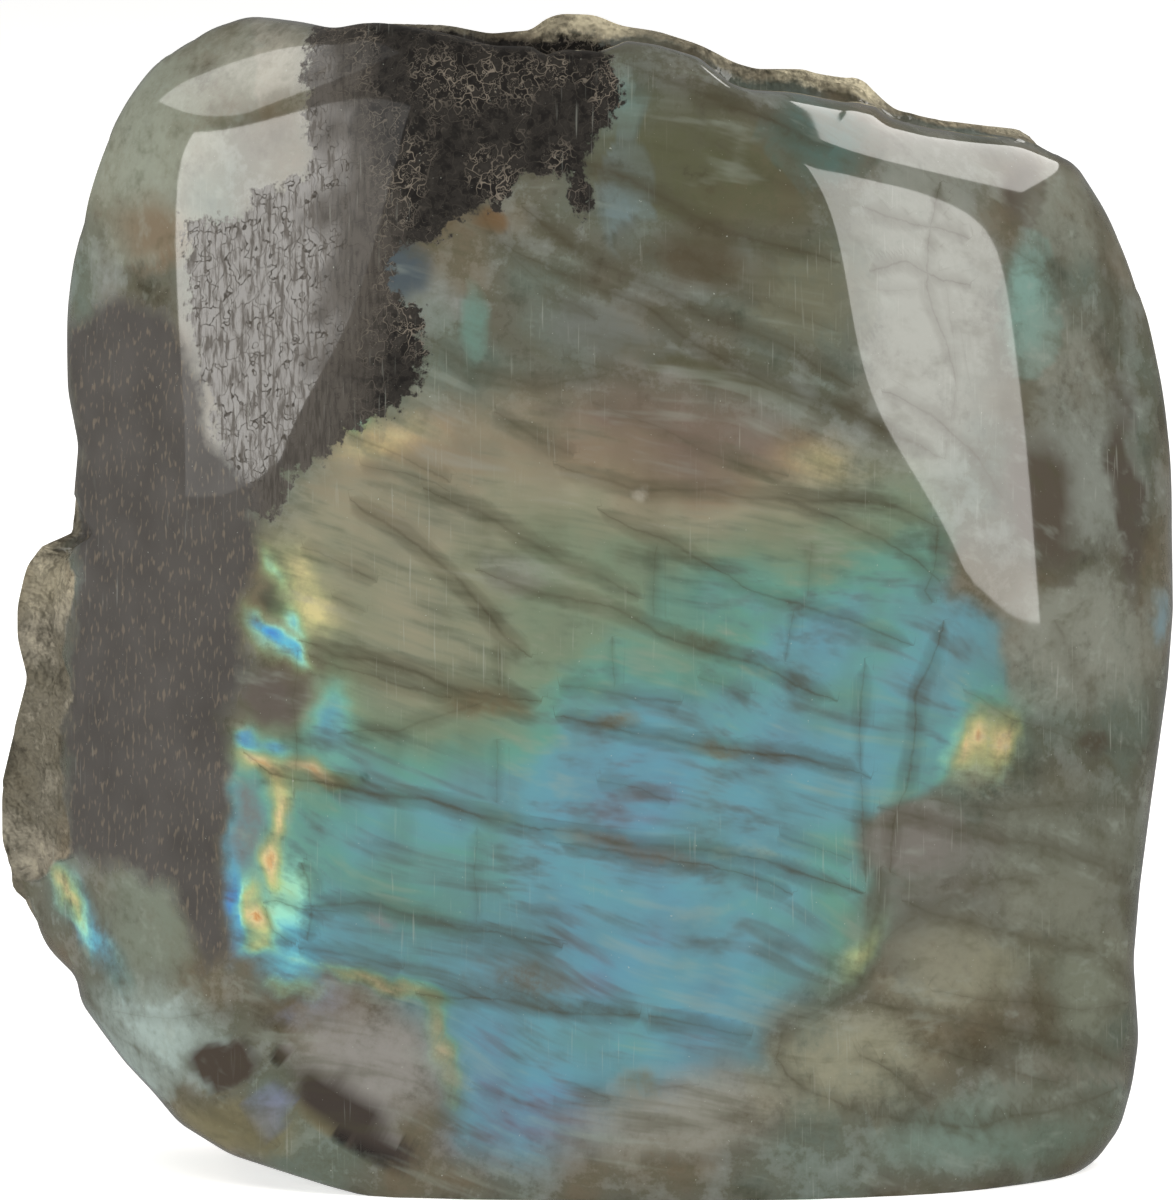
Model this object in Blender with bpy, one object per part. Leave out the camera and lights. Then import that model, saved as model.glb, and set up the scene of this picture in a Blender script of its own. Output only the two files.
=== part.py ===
"""A freeform chunk of labradorite: its domed front is ground and polished, its back, left edge and top are
natural stone, and it stands on a sawn base. Every point of its surface lies on a ray from the heart of the
stone, where the ray meets the first facet, the outline or a break in the back."""

import math

import bmesh
import bpy
import numpy as np
from mathutils import Vector, noise

MM = 0.001

# Driving dimensions, in millimetres. The heart is the point that every ray starts from.
WIDTH = 109.0
HEIGHT = 110.0
DEPTH = 46.0
HEART = np.array((0.0, 0.0, 55.0))
# The outline is drawn as someone sees it who looks down on the stone by this many degrees.
LOOKING_DOWN = 8.0
FOOT_OF_OUTLINE = -57.0
SUBDIVISIONS = 7
TRIANGLES = 9400

# The stone's outline seen from the front, clockwise from the top left: across and up, in millimetres.
OUTLINE = (
    (-47.9, 94.3),
    (-43.4, 101.4),
    (-39.6, 106.6),
    (-35.6, 109.0),
    (-31.4, 109.6),
    (-26.0, 108.7),
    (-23.4, 108.0),
    (-19.0, 108.7),
    (-13.0, 108.4),
    (-9.0, 107.6),
    (-5.0, 107.9),
    (-4.2, 108.8),
    (-2.6, 109.4),
    (0.6, 109.3),
    (1.6, 108.9),
    (3.0, 108.3),
    (6.4, 107.8),
    (10.2, 106.6),
    (13.6, 104.9),
    (15.4, 104.4),
    (19.6, 104.4),
    (25.3, 103.6),
    (26.8, 102.0),
    (28.2, 100.8),
    (32.0, 99.9),
    (36.0, 99.4),
    (40.8, 99.0),
    (44.9, 96.5),
    (47.8, 92.2),
    (50.5, 87.6),
    (53.7, 82.0),
    (54.6, 76.4),
    (54.4, 62.0),
    (54.5, 54.6),
    (54.0, 48.0),
    (52.6, 38.0),
    (51.4, 29.0),
    (50.8, 22.0),
    (51.4, 14.6),
    (50.8, 10.4),
    (49.7, 6.4),
    (47.4, 3.4),
    (44.4, 1.6),
    (39.0, 1.2),
    (30.0, 0.0),
    (-18.0, 0.0),
    (-23.6, 1.4),
    (-33.2, 4.2),
    (-38.0, 7.0),
    (-40.4, 9.8),
    (-43.2, 12.6),
    (-45.4, 15.4),
    (-47.4, 18.0),
    (-47.8, 20.4),
    (-50.8, 23.0),
    (-53.2, 25.8),
    (-54.5, 28.8),
    (-55.0, 33.2),
    (-55.0, 37.6),
    (-53.7, 42.8),
    (-52.2, 48.4),
    (-53.1, 52.0),
    (-53.1, 55.0),
    (-52.4, 58.0),
    (-51.9, 59.4),
    (-51.0, 60.0),
    (-50.9, 61.1),
    (-48.0, 61.3),
    (-47.6, 66.0),
    (-47.2, 70.0),
    (-48.2, 75.0),
    (-48.5, 84.2),
)

# Polished facets: the way each one faces, in degrees to the right and up, and how far out it lies.
FRONT_FACETS = (
    (0.0, 6.0, 22.6),
    (0.0, -5.0, 22.2),
    (-31.0, 12.0, 32.3),
    (-30.0, -4.0, 28.6),
    (33.0, 9.0, 32.7),
    (15.0, -4.0, 24.2),
    (34.0, -4.0, 33.7),
    (-10.0, -4.0, 21.0),
    (-55.0, 8.0, 40.2),
    (-55.0, -3.0, 37.6),
    (54.0, 9.0, 41.2),
    (54.0, -3.0, 42.0),
    (-45.0, 42.0, 51.8),
    (45.0, 42.0, 48.2),
    (0.0, 40.0, 45.5),
    (-57.0, 32.0, 66.5),
    (56.0, 32.0, 58.0),
    (0.0, -18.0, 32.8),
    (-50.0, -41.0, 59.4),
    (52.0, -38.0, 66.8),
)

# Breaks in the natural back, given in the same way.
BACK_FACETS = (
    (176.0, -4.0, 21.5),
    (148.0, 10.0, 38.0),
    (-146.0, 14.0, 38.0),
    (-168.0, 38.0, 40.0),
    (160.0, 48.0, 47.0),
    (-150.0, -34.0, 51.0),
    (152.0, -38.0, 56.0),
    (118.0, -6.0, 60.0),
    (-116.0, 4.0, 63.0),
    (100.0, 40.0, 62.0),
    (-100.0, 44.0, 66.0),
)

# Where the polish ends, going round from the right: the angle, how far back the rim lies, and how far
# the natural rind behind stands out past it.
RIM = (
    (0.0, 14.0, 0.0),
    (40.0, 8.0, 0.0),
    (46.0, 2.0, 1.0),
    (59.0, -1.0, 1.0),
    (62.0, -2.0, 2.6),
    (74.0, -3.0, 2.2),
    (78.0, -4.0, 1.4),
    (86.0, -4.0, 1.6),
    (89.0, -4.0, 3.6),
    (94.4, -4.0, 3.6),
    (96.0, -4.0, 1.8),
    (104.0, -3.0, 1.2),
    (112.0, 2.0, 0.0),
    (130.0, 8.0, 0.0),
    (170.0, 10.0, 0.0),
    (176.0, 8.0, 3.0),
    (188.0, 8.0, 3.0),
    (202.0, 11.0, 0.0),
    (230.0, 14.0, 0.0),
)

# Behind the outline's widest place the stone narrows by this share, between these two depths.
TAPER = 0.12
TAPER_DEPTHS = (10.0, 28.0)

# Natural stone lies in ledges of this height, where it has split along its cleavage. Each of its other forms
# has a height and a length.
LEDGE = 2.0
LEDGED_SHARE = 0.7
SWELL, SWELL_LENGTH = 3.4, 24.0
LUMP, LUMP_LENGTH = 1.3, 11.0
GRAIN, GRAIN_LENGTH = 0.5, 4.5
PIT, PIT_LENGTH, PIT_THRESHOLD = 1.6, 3.4, 0.3
DEEPEST_BREAK_IN_OUTLINE = 0.8

# How sharply neighbouring facets meet: a higher number is a crisper edge.
POLISHED_EDGE = 30.0
OUTLINE_EDGE = 60.0
BROKEN_EDGE = 90.0

# The polish gives way to natural stone over this many millimetres each side of the rim. The breaks behind it,
# and the outline, take hold where the surface is this near to them, as a share of their distance.
RIM_SOFTNESS = 0.5
NEAR_BREAK = (0.97, 1.01)
NEAR_OUTLINE = (0.93, 0.98)


def ramp(value, start, end):
    """0 before start and 1 after end, easing in between."""
    t = np.clip((value - start) / (end - start), 0.0, 1.0)
    return t * t * (3.0 - 2.0 * t)


def nearest(distances, crispness):
    """The smallest of several distances, with the edges between them rounded."""
    return sum(distance**-crispness for distance in distances) ** (-1.0 / crispness)


def to_facet(ways, facing, rise, out):
    """How far each ray runs before it meets one plane."""
    facing, rise = math.radians(facing), math.radians(rise)
    normal = (
        math.sin(facing) * math.cos(rise),
        -math.cos(facing) * math.cos(rise),
        math.sin(rise),
    )
    return out / np.maximum(ways @ np.array(normal), 0.02)


def corners_reach(angles):
    """How far the line through the outline's corners lies from the heart at each angle around it."""
    corners = np.array(OUTLINE) + (0.0, FOOT_OF_OUTLINE)
    reach = np.full(len(angles), np.inf)
    across, up = np.cos(angles), np.sin(angles)
    for start, end in zip(corners, np.roll(corners, -1, axis=0)):
        edge = end - start
        facing = across * edge[1] - up * edge[0]
        facing = np.where(np.abs(facing) < 1e-9, 1e-9, facing)
        out = (start[0] * edge[1] - start[1] * edge[0]) / facing
        along = (start[0] * up - start[1] * across) / facing
        hit = (along >= -1e-6) & (along <= 1 + 1e-6) & (out > 0)
        reach = np.where(hit, np.minimum(reach, out), reach)
    return reach


def outline_reach(degrees):
    """The outline with its corners rounded, by averaging it over a few quarter degrees."""
    steps = np.arange(0.0, 360.0, 0.25)
    corners = corners_reach(np.radians(steps))
    rounded = np.mean([np.roll(corners, shift) for shift in range(-3, 4)], axis=0)
    return np.interp(degrees, steps, rounded, period=360)


def round_the_view(ways):
    """The angle of each ray round the line of sight, and how much of the ray runs across that line."""
    tilt = math.radians(LOOKING_DOWN)
    up = ways[:, 2] * math.cos(tilt) + ways[:, 1] * math.sin(tilt)
    return np.degrees(np.arctan2(up, ways[:, 0])), np.maximum(np.hypot(ways[:, 0], up), 0.05)


def reach_of(ways):
    """How far the surface lies along each ray before it is roughened, how natural it is there, and whether
    the outline is what holds it in."""
    degrees, spread = round_the_view(ways)
    outline = outline_reach(degrees) / spread
    rim_angles, rim_depths, proud = np.array(RIM).T
    rim_depth = np.interp(degrees, rim_angles, rim_depths, period=360)
    inset = np.interp(degrees, rim_angles, proud, period=360) / spread
    front = nearest([to_facet(ways, *facet) for facet in FRONT_FACETS], POLISHED_EDGE)
    back = nearest([to_facet(ways, *facet) for facet in BACK_FACETS], BROKEN_EDGE)
    polished = nearest([front, outline - inset], OUTLINE_EDGE)
    natural = ramp(polished * ways[:, 1], rim_depth - RIM_SOFTNESS, rim_depth + RIM_SOFTNESS)
    tapered = outline * (1 - TAPER * ramp(outline * ways[:, 1], *TAPER_DEPTHS))
    surface = polished + (tapered - polished) * natural
    natural = np.maximum(natural, ramp(surface / back, *NEAR_BREAK))
    reach = nearest([surface, back], BROKEN_EDGE)
    return reach, natural, ramp(reach / outline, *NEAR_OUTLINE)


def height_of_break(point):
    """The swells, ledges, lumps and pits of natural stone at one point, as a height."""
    swell = SWELL * noise.noise(point / SWELL_LENGTH) + LUMP * noise.noise(point / LUMP_LENGTH)
    steps = swell / LEDGE
    ledged = LEDGE * (math.floor(steps) + ramp(steps - math.floor(steps), 0.7, 1.0))
    grain = GRAIN * noise.fractal(point / GRAIN_LENGTH, 1.0, 2.0, 2)
    pit = PIT * max(0.0, noise.noise(point / PIT_LENGTH) - PIT_THRESHOLD)
    return swell + LEDGED_SHARE * (ledged - swell) + grain - pit


def surface_points(ways):
    """The stone's surface along each ray. Where the outline holds it in, breaks only go in a little."""
    reach, natural, at_outline = reach_of(ways)
    height = np.array([height_of_break(Vector(point)) for point in ways * reach[:, None]])
    height += at_outline * (np.clip(height, -DEEPEST_BREAK_IN_OUTLINE, 0.0) - height)
    return ways * (reach + height * natural)[:, None] + HEART


def make_rough_block():
    """A ball pressed to the stone's proportions and drawn in to its surface, before its base is sawn."""
    shape = bmesh.new()
    bmesh.ops.create_icosphere(shape, subdivisions=SUBDIVISIONS, radius=1.0)
    ways = np.array([vertex.co for vertex in shape.verts]) * (WIDTH / 2, DEPTH / 2, HEIGHT / 2)
    ways /= np.linalg.norm(ways, axis=1)[:, None]
    points = surface_points(ways)
    middle = (points.min(axis=0) + points.max(axis=0)) / 2
    points[:, :2] -= middle[:2]
    for vertex, point in zip(shape.verts, points * MM):
        vertex.co = point
    bmesh.ops.recalc_face_normals(shape, faces=shape.faces)
    mesh = bpy.data.meshes.new("stone")
    shape.to_mesh(mesh)
    shape.free()
    return mesh


def make_saw_cut(collection):
    """The block under the stone that the saw takes away."""
    shape = bmesh.new()
    bmesh.ops.create_cube(shape, size=2 * HEIGHT * MM)
    mesh = bpy.data.meshes.new("saw cut")
    shape.to_mesh(mesh)
    shape.free()
    cut = bpy.data.objects.new("saw cut", mesh)
    cut.location.z = -HEIGHT * MM
    cut.hide_render = True
    cut.display_type = "WIRE"
    collection.objects.link(cut)
    return cut


def stone_material():
    """Polished feldspar: a grey green body under a clear gloss."""
    material = bpy.data.materials.new("labradorite feldspar")
    material.use_nodes = True
    shader = material.node_tree.nodes["Principled BSDF"]
    shader.inputs["Base Color"].default_value = (0.17, 0.18, 0.14, 1.0)
    shader.inputs["Roughness"].default_value = 0.25
    shader.inputs["Metallic"].default_value = 0.0
    shader.inputs["IOR"].default_value = 1.56
    return material


def main():
    for old in list(bpy.data.objects):
        bpy.data.objects.remove(old, do_unlink=True)
    collection = bpy.data.collections.new("labradorite chunk")
    cutters = bpy.data.collections.new("cutters")
    cutters.hide_render = True
    for new in (collection, cutters):
        bpy.context.scene.collection.children.link(new)
    mesh = make_rough_block()
    mesh.materials.append(stone_material())
    stone = bpy.data.objects.new("stone", mesh)
    collection.objects.link(stone)
    fewer = stone.modifiers.new("fewer faces", "DECIMATE")
    fewer.ratio = TRIANGLES / len(mesh.polygons)
    base = stone.modifiers.new("sawn base", "BOOLEAN")
    base.operation = "DIFFERENCE"
    base.solver = "EXACT"
    base.object = make_saw_cut(cutters)


main()
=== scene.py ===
import math

import bmesh
import bpy
import numpy as np
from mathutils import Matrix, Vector, noise


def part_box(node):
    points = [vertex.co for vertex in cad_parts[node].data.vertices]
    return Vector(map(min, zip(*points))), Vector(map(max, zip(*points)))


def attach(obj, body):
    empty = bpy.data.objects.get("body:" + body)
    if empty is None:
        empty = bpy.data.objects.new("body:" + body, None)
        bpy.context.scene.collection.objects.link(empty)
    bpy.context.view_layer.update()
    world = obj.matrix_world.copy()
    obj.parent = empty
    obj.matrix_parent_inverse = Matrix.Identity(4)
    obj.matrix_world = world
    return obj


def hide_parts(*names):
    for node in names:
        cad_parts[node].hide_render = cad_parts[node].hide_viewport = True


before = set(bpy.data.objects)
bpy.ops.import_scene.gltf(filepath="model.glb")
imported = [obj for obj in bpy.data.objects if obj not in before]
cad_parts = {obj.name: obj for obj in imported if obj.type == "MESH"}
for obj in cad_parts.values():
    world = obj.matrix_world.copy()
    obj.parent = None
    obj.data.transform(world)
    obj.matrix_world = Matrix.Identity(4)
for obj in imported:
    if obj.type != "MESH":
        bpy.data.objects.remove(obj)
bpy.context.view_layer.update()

# The stone
# One lump of labradorite feldspar, broken from its vein and then ground and polished to a dome in front,
# with a sawn base to stand on. Its back, left edge and top keep the natural rind, and black crazed rock is
# grown into it.
MM = 0.001

# The spacing of the mesh follows this block. Each point of the surface lies where a ray from the heart
# meets the first facet, the outline or a break. All of them are in millimetres, and angles are in degrees.
WIDTH = 109.0
HEIGHT = 110.0
DEPTH = 46.0
HEART = np.array((0.0, 0.0, 55.0))

# The outline as the eye sees it from a little above, clockwise from the top left: across, and up from
# its foot.
LOOKING_DOWN = 8.0
FOOT_OF_OUTLINE = -57.0
OUTLINE = (
    (-47.9, 94.3), (-43.4, 101.4), (-39.6, 106.6), (-35.6, 109.0), (-31.4, 109.6), (-26.0, 108.7),
    (-23.4, 108.0), (-19.0, 108.7), (-13.0, 108.4), (-9.0, 107.6), (-5.0, 107.9), (-4.2, 108.8),
    (-2.6, 109.4), (0.6, 109.3), (1.6, 108.9), (3.0, 108.3), (6.4, 107.8), (10.2, 106.6), (13.6, 104.9),
    (15.4, 104.4), (19.6, 104.4), (25.3, 103.6), (26.8, 102.0), (28.2, 100.8), (32.0, 99.9), (36.0, 99.4),
    (40.8, 99.0), (44.9, 96.5), (47.8, 92.2), (50.5, 87.6), (53.7, 82.0), (54.6, 76.4), (54.4, 62.0),
    (54.5, 54.6), (54.0, 48.0), (52.6, 38.0), (51.4, 29.0), (50.8, 22.0), (51.4, 14.6), (50.8, 10.4),
    (49.7, 6.4), (47.4, 3.4), (44.4, 1.6), (39.0, 1.2), (30.0, 0.0), (-18.0, 0.0), (-23.6, 1.4),
    (-33.2, 4.2), (-38.0, 7.0), (-40.4, 9.8), (-43.2, 12.6), (-45.4, 15.4), (-47.4, 18.0), (-47.8, 20.4),
    (-50.8, 23.0), (-53.2, 25.8), (-54.5, 28.8), (-55.0, 33.2), (-55.0, 37.6), (-53.7, 42.8),
    (-52.2, 48.4), (-53.1, 52.0), (-53.1, 55.0), (-52.4, 58.0), (-51.9, 59.4), (-51.0, 60.0),
    (-50.9, 61.1), (-48.0, 61.3), (-47.6, 66.0), (-47.2, 70.0), (-48.2, 75.0), (-48.5, 84.2),
)

# Polished facets, and the breaks in the back: the way each one faces, to the right and up, and how far
# out it lies.
FRONT_FACETS = (
    (0.0, 6.0, 22.6), (0.0, -5.0, 22.2), (-31.0, 12.0, 32.3), (-30.0, -4.0, 28.6), (33.0, 9.0, 32.7),
    (15.0, -4.0, 24.2), (34.0, -4.0, 33.7), (-10.0, -4.0, 21.0), (-55.0, 8.0, 40.2), (-55.0, -3.0, 37.6),
    (54.0, 9.0, 41.2), (54.0, -3.0, 42.0), (-45.0, 42.0, 51.8), (45.0, 42.0, 48.2), (0.0, 40.0, 45.5),
    (-57.0, 32.0, 66.5), (56.0, 32.0, 58.0), (0.0, -18.0, 32.8), (-50.0, -41.0, 59.4),
    (52.0, -38.0, 66.8),
)
BACK_FACETS = (
    (176.0, -4.0, 21.5), (148.0, 10.0, 38.0), (-146.0, 14.0, 38.0), (-168.0, 38.0, 40.0),
    (160.0, 48.0, 47.0), (-150.0, -34.0, 51.0), (152.0, -38.0, 56.0), (118.0, -6.0, 60.0),
    (-116.0, 4.0, 63.0), (100.0, 40.0, 62.0), (-100.0, 44.0, 66.0),
)

# Where the polish ends, going round from the right: the angle, how far back the rim lies, and how far the
# natural rind behind it stands out.
RIM = (
    (0.0, 14.0, 0.0), (40.0, 8.0, 0.0), (46.0, 2.0, 1.0), (59.0, -1.0, 1.0), (62.0, -2.0, 2.6),
    (74.0, -3.0, 2.2), (78.0, -4.0, 1.4), (86.0, -4.0, 1.6), (89.0, -4.0, 3.6), (94.4, -4.0, 3.6),
    (96.0, -4.0, 1.8), (104.0, -3.0, 1.2), (112.0, 2.0, 0.0), (130.0, 8.0, 0.0), (170.0, 10.0, 0.0),
    (176.0, 8.0, 3.0), (188.0, 8.0, 3.0), (202.0, 11.0, 0.0), (230.0, 14.0, 0.0),
)

# Behind the rim the stone narrows by this share between two depths. Its rind swells, steps up in ledges,
# and has lumps, grain and pits: the height and the length of each.
TAPER = 0.12
TAPER_DEPTHS = (10.0, 28.0)
LEDGE = 2.0
LEDGE_RISE = (0.7, 1.0)
LEDGED_SHARE = 0.7
SWELL, SWELL_LENGTH = 3.4, 24.0
LUMP, LUMP_LENGTH = 1.3, 11.0
GRAIN, GRAIN_LENGTH = 0.5, 4.5
PIT, PIT_LENGTH, PIT_THRESHOLD = 1.6, 3.4, 0.3
DEEPEST_BREAK_IN_OUTLINE = 0.8

# How crisp the edges between facets are, and how softly the rim, a break and the outline take over. A ray
# that hardly meets a facet, or hardly runs across the line of sight, counts as if it did by this share.
POLISHED_EDGE = 30.0
OUTLINE_EDGE = 60.0
BROKEN_EDGE = 90.0
RIM_SOFTNESS = 0.5
NEAR_BREAK = (0.97, 1.01)
NEAR_OUTLINE = (0.93, 0.98)
LEAST_MEETING, LEAST_ACROSS = 0.02, 0.05

# The outline's corners are rounded over this many steps to each side, of this many degrees.
ROUNDED_STEPS = 3
ANGLE_STEP = 0.25

# The polished dome isn't quite true: it was ground by hand, and swells this much over this length.
HAND_GROUND, HAND_GROUND_LENGTH = 0.10, 20.0

# The cells of the block before it is shaped.
CELLS_ACROSS = 176
CELLS_DEEP = 52


def ramp(value, start, end):
    """0 before start and 1 after end, easing in between."""
    t = np.clip((value - start) / (end - start), 0.0, 1.0)
    return t * t * (3.0 - 2.0 * t)


def nearest(distances, crispness):
    """The smallest of several distances, with the edges between them rounded."""
    return sum(distance**-crispness for distance in distances) ** (-1.0 / crispness)


def to_facet(ways, facing, rise, out):
    """How far each ray runs before it meets one plane."""
    facing, rise = math.radians(facing), math.radians(rise)
    normal = (
        math.sin(facing) * math.cos(rise),
        -math.cos(facing) * math.cos(rise),
        math.sin(rise),
    )
    return out / np.maximum(ways @ np.array(normal), LEAST_MEETING)


def corners_reach(angles):
    """How far the line through the outline's corners lies from the heart at each angle around it."""
    corners = np.array(OUTLINE) + (0.0, FOOT_OF_OUTLINE)
    reach = np.full(len(angles), np.inf)
    across, up = np.cos(angles), np.sin(angles)
    for start, end in zip(corners, np.roll(corners, -1, axis=0)):
        edge = end - start
        facing = across * edge[1] - up * edge[0]
        facing = np.where(np.abs(facing) < 1e-9, 1e-9, facing)
        out = (start[0] * edge[1] - start[1] * edge[0]) / facing
        along = (start[0] * up - start[1] * across) / facing
        hit = (along >= -1e-6) & (along <= 1 + 1e-6) & (out > 0)
        reach = np.where(hit, np.minimum(reach, out), reach)
    return reach


def outline_reach(degrees):
    """The outline with its corners rounded, by averaging it over a few small steps."""
    steps = np.arange(0.0, 360.0, ANGLE_STEP)
    corners = corners_reach(np.radians(steps))
    shifts = range(-ROUNDED_STEPS, ROUNDED_STEPS + 1)
    rounded = np.mean([np.roll(corners, shift) for shift in shifts], axis=0)
    return np.interp(degrees, steps, rounded, period=360)


def round_the_view(ways):
    """The angle of each ray round the line of sight, and how much of the ray runs across that line."""
    tilt = math.radians(LOOKING_DOWN)
    up = ways[:, 2] * math.cos(tilt) + ways[:, 1] * math.sin(tilt)
    return np.degrees(np.arctan2(up, ways[:, 0])), np.maximum(np.hypot(ways[:, 0], up), LEAST_ACROSS)


def reach_of(ways):
    """How far the surface lies along each ray, how natural it is, and how near it is to the outline."""
    degrees, spread = round_the_view(ways)
    outline = outline_reach(degrees) / spread
    rim_angles, rim_depths, proud = np.array(RIM).T
    rim_depth = np.interp(degrees, rim_angles, rim_depths, period=360)
    inset = np.interp(degrees, rim_angles, proud, period=360) / spread
    front = nearest([to_facet(ways, *facet) for facet in FRONT_FACETS], POLISHED_EDGE)
    back = nearest([to_facet(ways, *facet) for facet in BACK_FACETS], BROKEN_EDGE)
    polished = nearest([front, outline - inset], OUTLINE_EDGE)
    natural = ramp(polished * ways[:, 1], rim_depth - RIM_SOFTNESS, rim_depth + RIM_SOFTNESS)
    tapered = outline * (1 - TAPER * ramp(outline * ways[:, 1], *TAPER_DEPTHS))
    surface = polished + (tapered - polished) * natural
    natural = np.maximum(natural, ramp(surface / back, *NEAR_BREAK))
    reach = nearest([surface, back], BROKEN_EDGE)
    return reach, natural, ramp(reach / outline, *NEAR_OUTLINE)


def height_of_break(point):
    """The swells, ledges, lumps and pits of natural stone at one point, as a height."""
    swell = SWELL * noise.noise(point / SWELL_LENGTH) + LUMP * noise.noise(point / LUMP_LENGTH)
    steps = swell / LEDGE
    ledged = LEDGE * (math.floor(steps) + ramp(steps - math.floor(steps), *LEDGE_RISE))
    grain = GRAIN * noise.fractal(point / GRAIN_LENGTH, 1.0, 2.0, 2)
    pit = PIT * max(0.0, noise.noise(point / PIT_LENGTH) - PIT_THRESHOLD)
    return swell + LEDGED_SHARE * (ledged - swell) + grain - pit


def surface_points(ways):
    """The stone's surface along each ray, in millimetres."""
    reach, natural, at_outline = reach_of(ways)
    points = [Vector(point) for point in ways * reach[:, None]]
    height = np.array([height_of_break(point) for point in points])
    height += at_outline * (np.clip(height, -DEEPEST_BREAK_IN_OUTLINE, 0.0) - height)
    ground = np.array([HAND_GROUND * noise.noise(point / HAND_GROUND_LENGTH) for point in points])
    return ways * (reach + height * natural + ground * (1 - natural))[:, None] + HEART


block = bmesh.new()
bmesh.ops.create_cube(block, size=2.0)
front_to_back = [e for e in block.edges if abs(e.verts[0].co.y - e.verts[1].co.y) > 1]
bmesh.ops.subdivide_edges(block, edges=front_to_back, cuts=CELLS_DEEP - 1, use_grid_fill=True)
across_and_up = [e for e in block.edges if abs(e.verts[0].co.y - e.verts[1].co.y) < 0.001]
bmesh.ops.subdivide_edges(block, edges=across_and_up, cuts=CELLS_ACROSS - 1, use_grid_fill=True)
ways = np.tan(np.array([vertex.co for vertex in block.verts]) * math.pi / 4)
ways *= (WIDTH / 2, DEPTH / 2, HEIGHT / 2)
ways /= np.linalg.norm(ways, axis=1)[:, None]
points = surface_points(ways)
stone_low, stone_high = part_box("stone")
middle = (points.min(axis=0) + points.max(axis=0)) / 2
to_frame = np.array((stone_low + stone_high) / 2) / MM - middle
to_frame[2] = 0.0
for vertex, point in zip(block.verts, (points + to_frame) * MM):
    vertex.co = point
sawn = bmesh.ops.bisect_plane(
    block,
    geom=block.verts[:] + block.edges[:] + block.faces[:],
    plane_co=(0, 0, 0),
    plane_no=(0, 0, 1),
    clear_inner=True,
)
base_edge = [item for item in sawn["geom_cut"] if isinstance(item, bmesh.types.BMEdge)]
bmesh.ops.contextual_create(block, geom=base_edge)
bmesh.ops.recalc_face_normals(block, faces=block.faces)
stone_mesh = bpy.data.meshes.new("stone block")
block.to_mesh(stone_mesh)
block.free()

# Places on the stone's face are counted as the eye sees them, in small steps across from the left and down
# from the top of the view. The eye is this far away and looks at this point. Sizes are in millimetres.
STEP = 0.0926
EYE_DISTANCE = 1400.0
LOOKED_AT = np.array((0.14, 0.0, 53.3))
VIEW_MIDDLE = (588.0, 600.0)
VIEW_HEIGHT = 1200.0

mesh_points = np.empty(len(stone_mesh.vertices) * 3)
stone_mesh.vertices.foreach_get("co", mesh_points)
mesh_points = mesh_points.reshape(-1, 3) / MM


def as_seen(points):
    """Where the eye sees each point of the stone: steps across and steps down."""
    tilt = math.radians(LOOKING_DOWN)
    across, deep, high = (points - LOOKED_AT).T
    nearness = EYE_DISTANCE / (EYE_DISTANCE + deep * math.cos(tilt) - high * math.sin(tilt))
    up = high * math.cos(tilt) + deep * math.sin(tilt)
    steps = np.stack((across, -up), axis=1) * nearness[:, None] / STEP
    return steps + VIEW_MIDDLE


def keep(name, values, kind="FLOAT"):
    """Stores one value for each point of the stone, for its finish to read."""
    layer = stone_mesh.attributes.new(name, kind, "POINT")
    field = "vector" if kind == "FLOAT_VECTOR" else "value"
    layer.data.foreach_set(field, np.ravel(values).astype(np.float32))


def along_line(places, line):
    """How far each place lies from a line of points, on which side, and how far along it, from 0 to 1."""
    line = np.array(line, float)
    runs = np.diff(line, axis=0)
    lengths = np.linalg.norm(runs, axis=1)
    found = np.full(len(places), np.inf)
    side, along = np.zeros(len(places)), np.zeros(len(places))
    walked = 0.0
    for start, run, length in zip(line, runs, lengths):
        offset = places - start
        share = np.clip(offset @ run / length**2, 0.0, 1.0)
        away = np.linalg.norm(offset - share[:, None] * run, axis=1)
        nearer = away < found
        found[nearer] = away[nearer]
        side[nearer] = np.sign(run[0] * offset[:, 1] - run[1] * offset[:, 0])[nearer]
        along[nearer] = ((walked + share * length) / lengths.sum())[nearer]
        walked += length
    return found * STEP, side, along


def depth_inside(places, corners):
    """How deep inside an outline each place lies, in millimetres, and below 0 outside it."""
    distance = along_line(places, [*corners, corners[0]])[0]
    inside = np.zeros(len(places), bool)
    across, down = places.T
    for (x0, y0), (x1, y1) in zip(corners, [*corners[1:], corners[0]]):
        between = (y0 > down) != (y1 > down)
        if y1 != y0:
            inside ^= between & (across < (x1 - x0) * (down - y0) / (y1 - y0) + x0)
    return np.where(inside, distance, -distance)


def in_oval(places, across, down, half_width, half_height, turn=0.0):
    """0 in the middle of an oval, 1 on its edge and more outside. turn is in degrees, clockwise."""
    turn = math.radians(turn)
    x, y = (places - (across, down)).T
    along = x * math.cos(turn) + y * math.sin(turn)
    over = y * math.cos(turn) - x * math.sin(turn)
    return np.hypot(along / half_width, over / half_height)


# Above its sawn base, the stone is natural where a break or the ground behind the rim shows.
SAWN_EDGE = (0.2, 1.4)
ways = mesh_points - to_frame - HEART
ways /= np.linalg.norm(ways, axis=1)[:, None]
natural = reach_of(ways)[1]
natural *= ramp(mesh_points[:, 2], *SAWN_EDGE)
true_places = as_seen(mesh_points)

# On the left edge the polish only grazed the rind, so it looks natural although it is nearly smooth.
GRAZED_RIND = (
    (-40, 548), (66, 546), (70, 600), (64, 660), (72, 700), (62, 760), (66, 850), (40, 880), (-40, 860),
)

# Vector noise starts from the clock unless it is given a seed, and the zones would then differ in
# every run.
noise.seed_set(7)


def drift_of(length):
    """A smooth change of place, to all sides, at each point of the stone."""
    return np.array([noise.noise_vector(Vector(point) / length) for point in mesh_points])


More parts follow.
